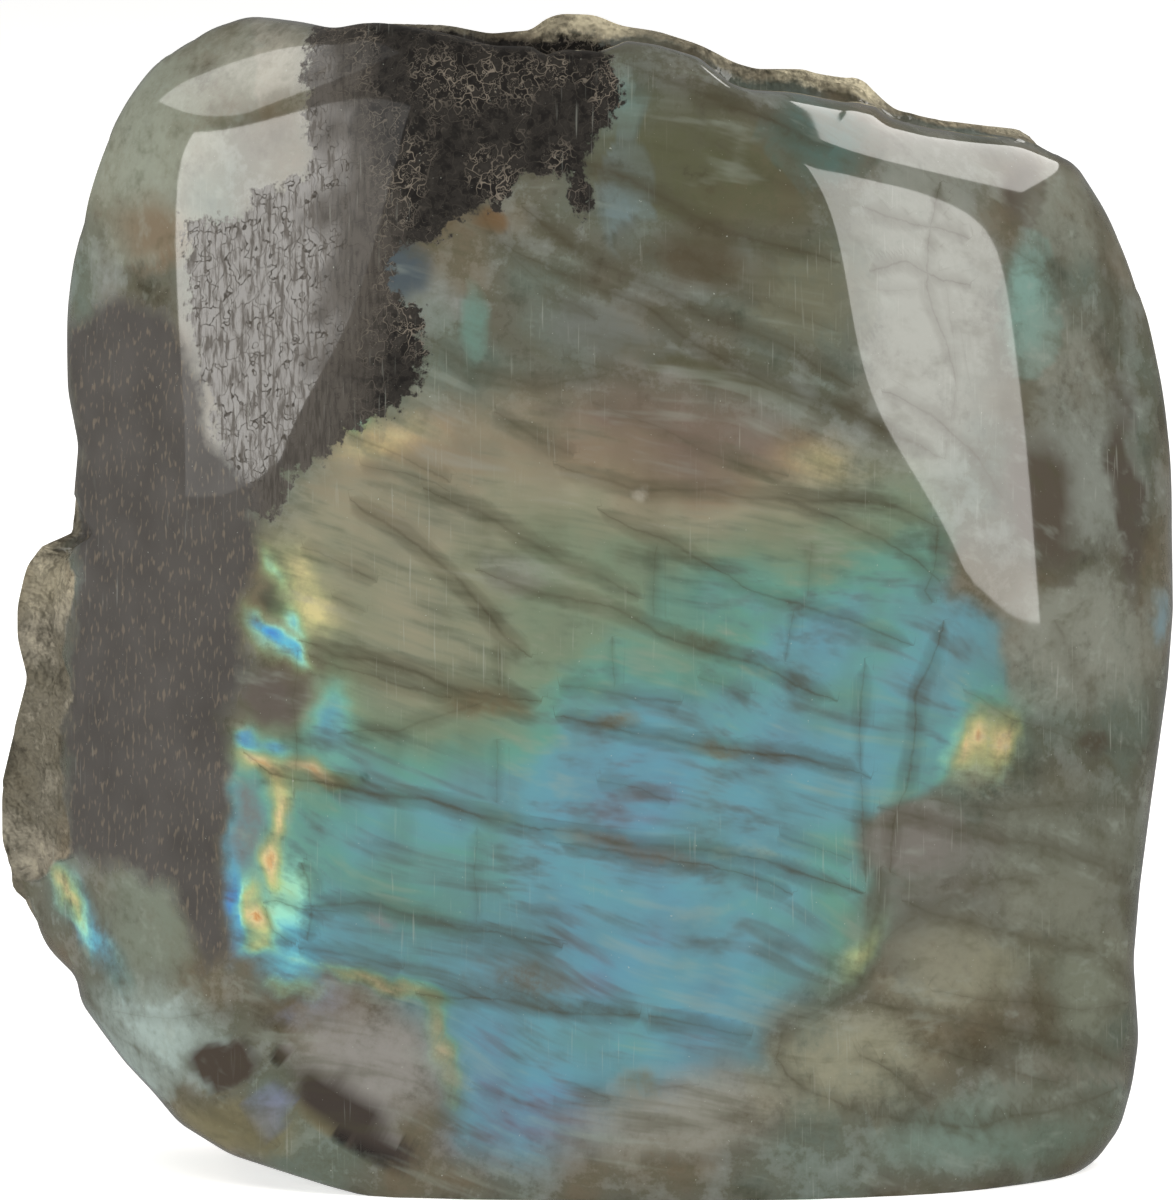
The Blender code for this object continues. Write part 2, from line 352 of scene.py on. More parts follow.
# Natural edges wander, so every zone is read at a place that has strayed by up to this many steps. No zone
# of the face reaches past these depths.
STRAY, STRAY_LENGTH = 9.0, 4.0
FINE_STRAY, FINE_STRAY_LENGTH = 0.6, 1.6
FACE_ENDS = (4.0, 12.0)
GRAZED_SOFTNESS = 0.6
stray = drift_of(STRAY_LENGTH)[:, ::2]
stray += FINE_STRAY * drift_of(FINE_STRAY_LENGTH)[:, ::2]
places = true_places + STRAY * stray
facing_us = 1 - ramp(mesh_points[:, 1], *FACE_ENDS)
grazed = ramp(depth_inside(places, GRAZED_RIND), -GRAZED_SOFTNESS, GRAZED_SOFTNESS)
keep("natural", np.maximum(natural, grazed))

# Painted shade: the right flank's colour is darkened for the light that it lacks, most of all low down.
FLANK_ACROSS, FLANK_DOWN = (930, 1060), (120, 420)
FLANK_FOOT, FOOT_SHARE = (700, 900), 0.3
shaded_right_flank = ramp(true_places[:, 0], *FLANK_ACROSS) * ramp(true_places[:, 1], *FLANK_DOWN)
keep("shade", shaded_right_flank * (1 - FOOT_SHARE + FOOT_SHARE * ramp(true_places[:, 1], *FLANK_FOOT)))

# Black crazed rock at the top, the same rock down the left, where its cracks stand upright, and a band
# further left where it took hardly any polish. Only the left part of the rock shines.
BLACK_ROCK = (
    (312, 96), (318, 0), (470, 0), (560, 26), (604, 48), (624, 92), (606, 132), (590, 158), (600, 214),
    (574, 218), (560, 176), (520, 182), (480, 214), (436, 242), (400, 250), (380, 290), (424, 330),
    (420, 400), (372, 424), (300, 470), (262, 520), (226, 480), (200, 380), (190, 300), (184, 214),
    (236, 216), (262, 196), (304, 180),
)
UPRIGHT_CRACKS = (
    (120, 180), (300, 90), (316, 40), (352, 40), (372, 150), (392, 250), (372, 330), (360, 430),
    (290, 540), (120, 560),
)
DULL_BAND = (
    (60, 330), (110, 300), (168, 306), (196, 350), (208, 430), (250, 480), (262, 540), (240, 610),
    (252, 660), (226, 705), (230, 740), (227, 960), (206, 976), (190, 930), (170, 890), (110, 862),
    (60, 850), (64, 700), (76, 560), (70, 430),
)
FAR_OUTSIDE = 10
SHINE_ENDS, SHINE_STRAY, LEAST_SHINE = (356, 296), 30, 0.05
keep("black rock", depth_inside(places, BLACK_ROCK) * facing_us - FAR_OUTSIDE * (1 - facing_us))
keep("upright cracks", depth_inside(places, UPRIGHT_CRACKS) * facing_us)
shine = ramp(places[:, 0] + SHINE_STRAY * stray[:, 0], *SHINE_ENDS)
keep("polished rock", shine * (1 - LEAST_SHINE) + LEAST_SHINE)
keep("dull band", depth_inside(places, DULL_BAND))

# Where the stone flashes. The colour comes from light that its thin layers throw back, so each place
# further down gives the layers' thickness in nanometres: about 440 is blue, 490 teal, 520 green, 590 gold
# and 650 rose.
FLASH_EDGE = (
    (262, 556), (292, 620), (320, 668), (300, 720), (236, 725), (228, 800), (228, 945), (290, 985),
    (330, 975), (385, 985), (430, 1030), (458, 1080), (446, 1140), (520, 1165), (640, 1112), (760, 1060),
    (766, 1015), (800, 1000), (850, 975), (872, 920), (862, 820), (915, 800), (960, 776), (1012, 700),
    (1004, 625), (950, 590), (945, 520), (915, 450), (850, 478), (800, 440), (750, 400), (640, 380),
    (520, 390), (420, 405), (350, 425), (300, 480), (266, 530),
)
# How far the flash fades, in millimetres, around some places on its edge: across, down, size and that
# length.
FLASH_FADES = (
    (240, 800, 110, 0.5), (560, 380, 200, 6.0), (850, 430, 80, 5.0), (1000, 620, 70, 0.9),
    (880, 820, 50, 0.8), (820, 960, 60, 3.0), (600, 1140, 150, 5.0), (440, 1080, 50, 1.4),
    (320, 450, 60, 2.5),
)

# The layers' thickness around some places: across, down, size and the thickness.
LAYER_THICKNESS = (
    (380, 455, 60, 584), (460, 520, 70, 556), (330, 600, 60, 575), (400, 620, 80, 556),
    (540, 540, 60, 548), (590, 600, 50, 530), (480, 690, 60, 552), (620, 660, 50, 505),
    (720, 600, 60, 492), (850, 560, 60, 488), (905, 500, 50, 505), (960, 650, 60, 482),
    (820, 470, 60, 606), (740, 440, 60, 652), (620, 430, 70, 645), (500, 430, 50, 600),
    (818, 635, 26, 448), (730, 690, 80, 474), (890, 740, 60, 478), (420, 745, 60, 506),
    (350, 850, 60, 468), (450, 840, 60, 458), (610, 790, 80, 460), (760, 820, 70, 463),
    (400, 900, 60, 476), (530, 930, 80, 452), (680, 900, 80, 458), (790, 930, 50, 462),
    (850, 950, 30, 530), (500, 1050, 60, 447), (520, 1120, 60, 447), (640, 1050, 60, 458),
    (730, 1040, 50, 470),
)


def blended(rows):
    """The values of the rows, each spreading evenly around its own place, as one smooth field."""
    weights = []
    for across, down, size, _ in rows:
        weights.append(np.exp(-0.5 * in_oval(places, across, down, size, size) ** 2) + 1e-9)
    return sum(weight * row[3] for weight, row in zip(weights, rows)) / sum(weights)


thickness = blended(LAYER_THICKNESS)
fade = blended(FLASH_FADES)
keep("flash", ramp(depth_inside(places, FLASH_EDGE), -fade, fade) * facing_us)

# Brighter fire along the left of the flash, and one ember on its right: an oval, its turn, the layers'
# thickness there, and how bright it is.
FIRE = (
    (300, 575, 18, 34, -20, 592, 0.7),
    (312, 612, 26, 20, 20, 588, 0.8),
    (272, 568, 9, 30, -28, 535, 0.8),
    (292, 625, 10, 22, -30, 500, 0.7),
    (268, 634, 11, 30, -42, 446, 0.9),
    (292, 652, 8, 22, -45, 480, 0.9),
    (246, 738, 14, 20, 0, 446, 0.45),
    (276, 752, 18, 10, 30, 446, 0.4),
    (330, 715, 24, 44, 10, 478, 0.28),
    (262, 768, 34, 8, 24, 594, 0.8),
    (318, 774, 34, 8, 10, 598, 0.4),
    (278, 815, 12, 46, 0, 588, 0.9),
    (270, 866, 10, 26, -10, 606, 0.9),
    (246, 890, 12, 16, 20, 560, 0.7),
    (290, 902, 23, 38, 0, 493, 1.3),
    (256, 920, 13, 22, -24, 612, 0.9),
    (254, 944, 14, 8, 0, 584, 0.9),
    (292, 962, 26, 18, 20, 482, 0.7),
    (234, 905, 7, 46, 0, 440, 0.9),
    (385, 440, 46, 16, -12, 566, 0.6),
    (360, 425, 20, 8, -20, 470, 0.6),
    (974, 742, 13, 34, 24, 602, 0.8),
    (1002, 744, 15, 38, 24, 586, 0.8),
    (950, 750, 9, 26, 24, 490, 0.3),
    (864, 950, 12, 34, 32, 556, 0.5),
    (820, 462, 40, 20, 15, 592, 0.35),
    (85, 920, 12, 56, -28, 470, 0.8),
    (66, 890, 9, 34, -28, 584, 0.7),
    (300, 990, 30, 8, 10, 596, 0.4),
    (440, 1050, 12, 60, -16, 580, 0.25),
    (380, 985, 60, 8, 12, 590, 0.3),
)
FIRE_FALL = 1.2
fire = np.zeros(len(places))
for across, down, half_width, half_height, turn, layers, brightness in FIRE:
    share = np.exp(-FIRE_FALL * in_oval(places, across, down, half_width, half_height, turn) ** 2)
    thickness += (layers - thickness) * share
    fire += (brightness - fire) * share
keep("layer thickness", thickness)
keep("fire", fire * facing_us)

# Fissures: healed cracks and cleavage faces seen through the polish, as thin dark olive lines. Each has a
# width in millimetres, a strength, and the places that it runs through.
FISSURES = (
    (1.3, 1.0, ((500, 240), (560, 270), (600, 290), (650, 310), (690, 340), (740, 370), (800, 395),
        (850, 410), (900, 440), (944, 458))),
    (0.7, 0.6, ((560, 355), (600, 365), (650, 384))),
    (0.9, 0.7, ((490, 412), (540, 440), (575, 458))),
    (0.5, 0.8, ((346, 430), (400, 455), (452, 482))),
    (0.4, 0.6, ((356, 463), (430, 480), (456, 492))),
    (0.8, 1.0, ((345, 498), (400, 530), (450, 575), (475, 600), (500, 630), (532, 658))),
    (0.9, 0.8, ((420, 486), (480, 510), (510, 530), (560, 560), (600, 575), (642, 602))),
    (0.8, 1.0, ((474, 572), (520, 585), (560, 595), (610, 608), (650, 625), (680, 640), (710, 650),
        (750, 660), (780, 675), (838, 702))),
    (0.9, 0.9, ((552, 466), (640, 490), (700, 490), (750, 495), (790, 500), (850, 500), (890, 505),
        (944, 527))),
    (0.6, 0.9, ((784, 498), (830, 515), (880, 540), (920, 565), (944, 582))),
    (0.7, 0.9, ((596, 508), (650, 535), (690, 555), (720, 575), (750, 590), (800, 605), (850, 620),
        (880, 635), (914, 647))),
    (0.4, 0.7, ((300, 545), (340, 562), (378, 582))),
    (0.3, 0.5, ((330, 595), (368, 612))),
    (0.9, 1.0, ((296, 638), (340, 655), (400, 665), (450, 685), (500, 695), (545, 701))),
    (0.6, 0.9, ((306, 653), (350, 670), (400, 685), (455, 697))),
    (0.6, 0.7, ((336, 736), (400, 728), (440, 715), (484, 699))),
    (0.8, 0.7, ((556, 684), (600, 692), (650, 700), (684, 706))),
    (0.5, 0.6, ((696, 679), (754, 692))),
    (1.2, 1.0, ((552, 717), (600, 725), (640, 735), (700, 745), (750, 752), (800, 755), (830, 765),
        (874, 777))),
    (1.1, 1.0, ((240, 750), (270, 775), (300, 780), (340, 785), (380, 795), (430, 800), (460, 810),
        (500, 820), (540, 830), (600, 838), (650, 845), (700, 850), (750, 860), (790, 870), (830, 885),
        (864, 897))),
    (0.7, 0.9, ((556, 844), (620, 850), (680, 862), (740, 875), (794, 897))),
    (0.4, 0.6, ((596, 779), (640, 790), (674, 802))),
    (0.5, 0.6, ((776, 834), (810, 845), (854, 862))),
    (1.1, 0.9, ((300, 903), (380, 905), (430, 920), (460, 930), (500, 935), (564, 952))),
    (0.8, 0.7, ((296, 949), (350, 955), (404, 967))),
    (0.8, 0.9, ((414, 994), (500, 1000), (560, 1010), (600, 1015), (644, 1016))),
    (0.6, 0.8, ((646, 1017), (700, 1025), (754, 1037))),
    (1.0, 0.8, ((880, 866), (875, 920), (870, 960), (855, 990), (830, 1005), (800, 1015), (780, 1035),
        (778, 1062))),
    (0.9, 0.9, ((778, 1056), (800, 1085), (830, 1100), (870, 1115), (920, 1120), (980, 1125),
        (1060, 1108), (1120, 1088))),
    (0.6, 0.8, ((846, 1048), (880, 1065), (910, 1090), (934, 1099))),
    (0.5, 0.8, ((935, 516), (940, 530), (935, 570), (925, 590), (935, 604))),
    (0.5, 0.9, ((945, 618), (940, 640), (930, 665), (920, 690), (915, 740), (905, 790), (893, 820),
        (890, 874))),
    (0.3, 0.8, ((862, 656), (861, 760), (863, 884))),
    (0.25, 0.6, ((500, 616), (502, 660), (499, 704))),
    (0.25, 0.6, ((498, 736), (496, 804))),
    (0.25, 0.5, ((478, 826), (474, 880), (476, 934))),
    (0.25, 0.6, ((656, 536), (652, 580), (655, 624))),
    (0.25, 0.6, ((796, 596), (789, 630), (785, 664))),
    (0.25, 0.5, ((815, 541), (809, 575), (805, 604))),
    (0.3, 0.6, ((612, 636), (613, 694))),
    (0.3, 0.7, ((300, 648), (296, 700), (298, 752), (294, 800))),
    (0.4, 0.8, ((262, 905), (280, 900), (300, 906), (340, 912))),
    (0.35, 1.2, ((860, 206), (900, 222), (940, 228), (972, 240))),
    (0.35, 1.2, ((868, 268), (905, 262), (940, 280), (976, 284))),
    (0.3, 1.1, ((942, 180), (930, 230), (926, 286), (950, 340), (956, 390))),
    (0.4, 1.2, ((880, 388), (930, 412), (970, 446), (1006, 500))),
    (0.35, 0.8, ((262, 903), (272, 930), (296, 946))),
    (0.4, 0.8, ((300, 860), (312, 884), (314, 912), (304, 944))),
    (0.5, 0.6, ((590, 400), (640, 420), (720, 455), (790, 478))),
    (0.5, 0.6, ((900, 1000), (960, 1030), (1040, 1040), (1100, 1060))),
    (0.6, 0.6, ((930, 800), (1000, 812), (1080, 800), (1140, 810))),
    (0.6, 0.5, ((880, 940), (940, 900), (1000, 880), (1060, 872))),
    (0.9, 0.5, ((620, 180), (680, 200), (740, 240), (800, 262))),
    (0.8, 0.5, ((640, 110), (700, 130), (760, 176), (830, 196))),
    (0.6, 0.5, ((560, 245), (620, 262), (680, 250), (760, 300), (840, 330))),
    (0.25, 0.6, ((940, 262), (958, 330), (956, 400), (946, 462))),
    (0.25, 0.5, ((850, 292), (880, 286), (922, 288))),
    (0.8, 0.6, ((470, 196), (500, 240), (560, 300), (600, 322))),
    (0.5, 0.6, ((980, 230), (1040, 262), (1090, 330), (1110, 400))),
    (0.5, 0.8, ((900, 1040), (980, 1062), (1060, 1084), (1120, 1120))),
    (0.4, 0.7, ((930, 990), (1000, 1000), (1080, 1010), (1130, 1000))),
    (0.5, 0.7, ((960, 690), (1010, 720), (1080, 742), (1150, 750))),
    (0.4, 0.6, ((470, 1090), (560, 1104), (640, 1096), (700, 1082))),
    (0.4, 0.5, ((110, 1010), (170, 1020), (240, 1010), (300, 1024))),
    (1.3, 0.9, ((620, 62), (700, 92), (780, 124), (836, 150))),
    (1.2, 0.9, ((566, 150), (640, 186), (720, 228), (842, 262))),
    (1.4, 0.95, ((520, 206), (600, 262), (690, 306), (800, 352), (856, 388))),
    (1.3, 0.8, ((420, 330), (470, 372), (540, 384), (610, 372))),
    (1.2, 0.8, ((1086, 176), (1106, 256), (1124, 356))),
    (1.2, 0.5, ((992, 330), (1012, 420), (1024, 480))),
    (1.3, 0.8, ((876, 806), (960, 832), (1060, 850), (1148, 884))),
    (1.2, 0.8, ((900, 902), (1000, 932), (1100, 956), (1144, 992))),
    (1.2, 0.8, ((862, 1002), (960, 1020), (1080, 1046), (1130, 1070))),
    (1.3, 0.7, ((70, 980), (120, 1036), (190, 1100), (280, 1150))),
    (1.2, 0.4, ((540, 1150), (640, 1130), (740, 1120), (840, 1140))),
    (1.2, 0.5, ((1050, 620), (1086, 690), (1100, 780))),
)
# Fissures that keep at least this far apart share one set of values, so that none blurs into another. They
# taper towards both ends, and fade from this share of their reach.
CLEAR_OF_EACH_OTHER = 2.6
TAPERED_SHARE, THINNEST_END = 0.12, 0.05
FADES_FROM = 0.6
sets = []
for width, strength, line in FISSURES:
    distance, side, along = along_line(true_places, line)
    reach = CLEAR_OF_EACH_OTHER / 2
    ends = np.minimum(ramp(along, 0.0, TAPERED_SHARE), 1 - ramp(along, 1 - TAPERED_SHARE, 1.0))
    near = (distance < reach) & (along > 0) & (along < 1) & (facing_us > 0.5)
    for taken, values in sets:
        if not (taken & (distance < 2 * reach)).any():
            break
    else:
        taken, values = np.zeros(len(places), bool), np.zeros((len(places), 3))
        values[:, 0] = reach
        sets.append((taken, values))
    taken |= near
    values[near, 0] = (distance * side)[near]
    values[near, 1] = (strength * (1 - ramp(distance, FADES_FROM * reach, reach)))[near]
    values[near, 2] = (width * (ends * (1 - THINNEST_END) + THINNEST_END))[near]
for number, (taken, values) in enumerate(sets):
    keep(f"fissures {number}", values, "FLOAT_VECTOR")


def from_hex(colour):
    """An sRGB colour written as six hex digits, as the linear values that a shader takes."""
    channels = [int(colour[i : i + 2], 16) / 255 for i in (0, 2, 4)]
    linear = [c / 12.92 if c <= 0.04045 else ((c + 0.055) / 1.055) ** 2.4 for c in channels]
    return (*linear, 1.0)


# Patches of other tints in the stone and under its polish, and one painted highlight: an oval, its turn,
# its colour and how strong it is. Each blends over this part of its oval. Where no other patch lies, its
# own colour soon holds in full, up to its edge.
PATCH_EDGE = (0.3, 1.5)
NO_OTHER, SOON_FULL = 0.01, 50
PATCHES = (
    (150, 120, 70, 110, 20, "858a7c", 0.6),
    (155, 232, 46, 34, 0, "6e5f4c", 0.9),
    # A painted highlight: this pale patch lies on the top left bevel, where the left top box shows in the
    # polish.
    (255, 60, 60, 40, -20, "a3a093", 0.5),
    (345, 200, 30, 150, 0, "6a635c", 0.5),
    (402, 268, 26, 30, 0, "444d52", 0.9),
    (474, 330, 12, 40, 0, "5f7a70", 0.7),
    (490, 220, 14, 10, 0, "665138", 0.9),
    (600, 330, 60, 26, 10, "62655f", 0.7),
    (700, 262, 60, 28, 15, "4c4535", 0.8),
    (622, 100, 20, 20, 0, "68807c", 0.7),
    (625, 200, 20, 44, 0, "66777a", 0.7),
    (820, 140, 44, 36, 20, "4a6059", 0.8),
    (700, 170, 110, 60, 15, "4e4f39", 0.8),
    (800, 290, 60, 50, 20, "656452", 0.7),
    (1030, 305, 22, 56, 0, "76948c", 0.8),
    (1020, 190, 18, 32, 0, "4c443a", 0.9),
    (1070, 215, 50, 40, 30, "787b70", 0.6),
    (1086, 470, 42, 64, -12, "80847e", 1.2),
    (1042, 500, 32, 64, -10, "544c42", 1.2),
    (1126, 490, 14, 92, -6, "4f483f", 1.2),
    (925, 300, 64, 150, 0, "7d7f76", 0.9),
    (1010, 400, 30, 20, 0, "5c5848", 0.8),
    (1080, 640, 70, 60, 0, "84867d", 1.0),
    (1160, 620, 10, 26, 0, "6c8794", 0.8),
    (1095, 740, 14, 12, 0, "4b4438", 0.9),
    (988, 745, 28, 40, 24, "9a8966", 0.5),
    (920, 845, 60, 40, 0, "6c6862", 0.8),
    (925, 920, 60, 42, -10, "606158", 0.9),
    (1060, 850, 80, 60, 0, "777a70", 0.8),
    (850, 1062, 80, 44, -15, "85836f", 0.7),
    (960, 965, 70, 44, -8, "807e6c", 0.8),
    (1090, 980, 40, 60, 0, "7b7f72", 0.8),
    (1000, 1130, 120, 34, -6, "697a70", 0.8),
    (150, 920, 40, 60, 0, "6b7265", 0.9),
    (40, 820, 34, 60, 0, "66645a", 0.8),
    (270, 1110, 16, 18, 0, "6f7690", 0.7),
    (240, 1126, 60, 24, 8, "706a50", 0.7),
    (140, 1040, 64, 54, 0, "93a29d", 0.9),
    (376, 1056, 66, 50, 20, "84817c", 0.8),
    (330, 1000, 26, 14, 10, "6b6a76", 0.6),
    (276, 698, 40, 32, 8, "564f49", 0.9),
    (248, 828, 12, 46, 0, "6b6a68", 0.9),
    (276, 600, 10, 14, -20, "33322f", 0.9),
    (526, 982, 46, 20, 4, "5e5648", 0.8),
    (486, 706, 40, 14, 10, "6b6049", 0.8),
    (620, 722, 22, 8, 4, "6b6049", 0.7),
    (716, 748, 26, 8, 6, "6b6049", 0.7),
    (616, 843, 28, 8, 8, "76706c", 0.8),
    (700, 640, 32, 10, 8, "56604f", 0.8),
    (450, 930, 130, 40, 6, "53696a", 0.5),
    (440, 926, 130, 12, 13, "47544f", 0.6),
    (560, 1002, 150, 9, 10, "4a534e", 0.6),
    (420, 968, 110, 9, 14, "4e5a55", 0.5),
    (640, 848, 70, 8, 12, "6b5f52", 0.8),
    (680, 1112, 110, 38, -8, "85847a", 0.9),
    (1050, 1090, 70, 40, -10, "7c7b71", 0.7),
    (700, 372, 100, 12, 16, "4b4a37", 0.7),
    (1062, 366, 40, 56, 0, "85867d", 0.6),
    (1050, 910, 60, 50, 0, "84857a", 0.7),
    (385, 918, 16, 7, 0, "7d6c70", 0.7),
    (366, 778, 6, 6, 0, "34423c", 0.9),
    (638, 1081, 24, 7, -6, "5a5f50", 0.8),
    (515, 575, 36, 16, 10, "84857f", 0.6),
    (640, 490, 7, 7, 0, "c4c0b2", 0.6),
    (220, 1064, 27, 20, 10, "3f372f", 2.0),
    (283, 1058, 5, 5, 0, "413a31", 2.0),
    (352, 1118, 20, 66, -50, "3a332e", 2.2),
    (362, 1030, 4, 4, 0, "c0beb2", 1.0),
    (300, 1018, 30, 12, 10, "6f7280", 0.5),
)
tint = np.zeros((len(places), 3))
tinted = np.zeros(len(places))
for across, down, half_width, half_height, turn, colour, strength in PATCHES:
    share = 1 - ramp(in_oval(places, across, down, half_width, half_height, turn), *PATCH_EDGE)
    share *= strength * facing_us
    over = np.minimum(np.where(tinted > NO_OTHER, share, SOON_FULL * share), 1.0)
    tint += (np.array(from_hex(colour)[:3]) - tint) * over[:, None]
    tinted = np.maximum(tinted, share)
keep("tint", tint, "FLOAT_VECTOR")
keep("tinted", tinted)

# The rind is paler on the ledge at the top, most of all on its knobs: partly its own tan, partly painted
# light from above that falls on the ledge. On the shoulder of the left rind it is paler by its own cream.
# Each: an oval, its turn and how pale it is.
PALE_AND_LIT_RIND = (
    (572, 16, 66, 26, 10, 1.0),
    (690, 52, 90, 26, 20, 0.25),
    (822, 80, 58, 26, 20, 1.0),
    (960, 128, 80, 26, 28, 0.3),
    (36, 575, 36, 34, 0, 0.4),
)
PALE_EDGE = (0.6, 1.5)
pale_and_lit_rind = np.zeros(len(places))
for across, down, half_width, half_height, turn, paleness in PALE_AND_LIT_RIND:
    share = 1 - ramp(in_oval(places, across, down, half_width, half_height, turn), *PALE_EDGE)
    pale_and_lit_rind = np.maximum(pale_and_lit_rind, paleness * share * facing_us)
keep("pale and lit rind", pale_and_lit_rind)

# The finish. Labradorite is a grey green, cloudy feldspar, so its body gives the eye a mottle of olive,
# grey and brown. Ground and polished it shines like glass. Black rock and natural rind take no such polish.
feldspar = bpy.data.materials.new("polished labradorite feldspar")
feldspar.use_nodes = True
tree = feldspar.node_tree
tree.nodes.clear()


def add(kind, *values, named=None, stops=(), out=0, **settings):
    """Adds a node and gives one of its outputs. The values, or the outputs that feed it, are for its inputs
    in their order, or by name, a text is a colour, and stops are a colour ramp's."""
    node = tree.nodes.new("ShaderNode" + kind)
    for name, value in settings.items():
        setattr(node, name, value)
    fed = list(zip([socket for socket in node.inputs if socket.enabled], values))
    fed += [(node.inputs[name], value) for name, value in (named or {}).items()]
    for socket, value in fed:
        if isinstance(value, bpy.types.NodeSocket):
            tree.links.new(value, socket)
        elif value is not None:
            socket.default_value = from_hex(value) if isinstance(value, str) else value
    for number, (position, colour) in enumerate(stops):
        stop = node.color_ramp.elements[number] if number < 2 else node.color_ramp.elements.new(position)
        stop.position = position
        stop.color = from_hex(colour)
    outputs = [socket for socket in node.outputs if socket.enabled]
    return outputs[out] if outputs else None


# Patterns in the stone, each of a size in millimetres. The larger ones are worked out here for each point
# of the mesh, which keeps the render quick. Lint and brushing are drawn a few times coarser than real, or
# they wouldn't show. Cleavage runs down to the right at this angle, and its streaks are drawn out along it.
CLOUDS, VEINS, WANDER, UNEVENNESS = 12.0, 5.0, 6.0, 4.0
DRIFT, DRIFT_LENGTH = 3.0, 16.0
SPECKS, LINT, STREAKS, BRUSHING = 1.1, 0.30, 2.2, 0.40
CLEAVAGE = math.radians(14)
ALONG_CLEAVAGE = (8.0, 1.2, 1.0)
ALONG_BRUSHING = (1.0, 1.0, 0.16)
CONTRAST, SEED_STEPS = 0.45, (31.7, 17.3, 7.9)


def pattern(size, octaves, seed):
    """A cloudy pattern around 0, at each point of the stone."""
    offset = Vector([seed * step for step in SEED_STEPS])
    spots = [Vector(point) / size + offset for point in mesh_points]
    return [CONTRAST * noise.fractal(spot, 1.0, 2.0, octaves) for spot in spots]


keep("clouds", pattern(CLOUDS, 3, 1))
keep("veins", pattern(VEINS, 3, 2))
keep("wander", pattern(WANDER, 2, 3))
keep("unevenness", pattern(UNEVENNESS, 2, 4))
keep("drift", drift_of(DRIFT_LENGTH) * DRIFT * MM, "FLOAT_VECTOR")
here = add("TexCoord", out=3)
clouds = add("Attribute", attribute_name="clouds", out=2)
veins = add("Attribute", attribute_name="veins", out=2)
specks = add("TexNoise", here, 1 / (SPECKS * MM), 3.0, 0.7)
lint = add("TexNoise", here, 1 / (LINT * MM), 1.0, 0.6)
drifted = add("VectorMath", add("Attribute", attribute_name="drift", out=1), here, operation="ADD")
cleaved = add("Mapping", drifted, (0, 0, 0), (0, CLEAVAGE, 0), ALONG_CLEAVAGE, vector_type="TEXTURE")
streaks = add("TexNoise", cleaved, 1 / (STREAKS * MM), 3.0, 0.62)
upright = add("Mapping", here, (0, 0, 0), (math.radians(-90), 0, 0), ALONG_BRUSHING)
brushing = add("TexNoise", upright, 1 / (BRUSHING * MM), 2.0, 0.6, noise_dimensions="2D")

# Every edge between two materials is ragged by this mixture of the finer patterns. Shares of tints and of
# the flash are uneven by it too, around their own value.
finer = add("Math", specks, 0.5, operation="SUBTRACT")
ragged = add("Math", finer, 1.3, add("Math", veins, 0.7, operation="MULTIPLY"), operation="MULTIPLY_ADD")
around_one = add("Math", ragged, 1.3, 1.0, operation="MULTIPLY_ADD")

# The body: a mottle from dark olive to pale grey, greener and browner in turns, with thin dark veins in it,
# and with its patches of other tints.
DARK_OLIVE = "45442f"
mottle = add("Math", finer, 0.8, veins, operation="MULTIPLY_ADD")
body = add(
    "ValToRGB",
    add("MapRange", mottle, -0.66, 0.66),
    stops=((0.14, "3b392b"), (0.90, "7d817c"), (0.34, "535145"), (0.50, "626257"), (0.66, "6d6f67")),
)
hue = add("MapRange", clouds, -0.05, 0.25, 0.0, 0.4, interpolation_type="SMOOTHSTEP")
body = add("Mix", hue, body, "62766d", data_type="RGBA")
hue = add("MapRange", clouds, 0.0, -0.25, 0.0, 0.45, interpolation_type="SMOOTHSTEP")
body = add("Mix", hue, body, "6b5c45", data_type="RGBA")
vein = add("MapRange", add("Math", mottle, operation="ABSOLUTE"), 0.12, 0.0, 0.0, 0.35)
body = add("Mix", vein, body, DARK_OLIVE, data_type="RGBA")
tint_share = add("Attribute", attribute_name="tinted", out=2)
tint_colour = add("Attribute", attribute_name="tint", out=0)
tinting = add("Math", tint_share, around_one, operation="MULTIPLY", use_clamp=True)
body = add("Mix", tinting, body, tint_colour, data_type="RGBA")

# The flash: light thrown back by thin layers in the stone, whose thickness gives it its colour, from violet
# blue at the thinnest to brown red. Streaks and clouds change it by some nanometres.
THINNEST, THICKEST = 420.0, 680.0
BY_STREAKS, BY_CLOUDS = 12.0, 22.0
layers = add("Attribute", attribute_name="layer thickness", out=2)
layers = add("Math", layers, add("MapRange", streaks, 0.3, 0.7, -BY_STREAKS, BY_STREAKS), operation="ADD")
layers = add("Math", layers, add("MapRange", clouds, -0.3, 0.3, -BY_CLOUDS, BY_CLOUDS), operation="ADD")
on_ramp = add("MapRange", layers, THINNEST, THICKEST)
SOFT_COLOURS = (
    (0.0, "686f8e"), (1.0, "6f5e54"), (0.09, "5a8a9d"), (0.19, "5b8d97"), (0.29, "5a8b7e"),
    (0.38, "6a7f69"), (0.5, "757a64"), (0.62, "85816c"), (0.72, "7d715d"), (0.86, "6d5d51"),
)
FIRE_COLOURS = (
    (0.0, "5860a0"), (1.0, "8e5236"), (0.08, "4684bc"), (0.2, "5aa8c0"), (0.29, "8ed0bc"),
    (0.42, "9cba88"), (0.54, "b0b27c"), (0.66, "c8b586"), (0.75, "bc8a56"), (0.86, "9a6a42"),
)
soft_flash = add("ValToRGB", on_ramp, stops=SOFT_COLOURS)
bright_fire = add("ValToRGB", on_ramp, stops=FIRE_COLOURS)
flash_share = add("Attribute", attribute_name="flash", out=2)
flashing = add("Math", flash_share, around_one, operation="MULTIPLY", use_clamp=True)
flashing = add("Mix", flash_share, flashing, 1.0, data_type="FLOAT")
flashing = add("Math", flashing, flash_share, operation="MULTIPLY")
dimmed = add("MapRange", streaks, 0.30, 0.60, 0.68, 1.0, interpolation_type="SMOOTHSTEP")
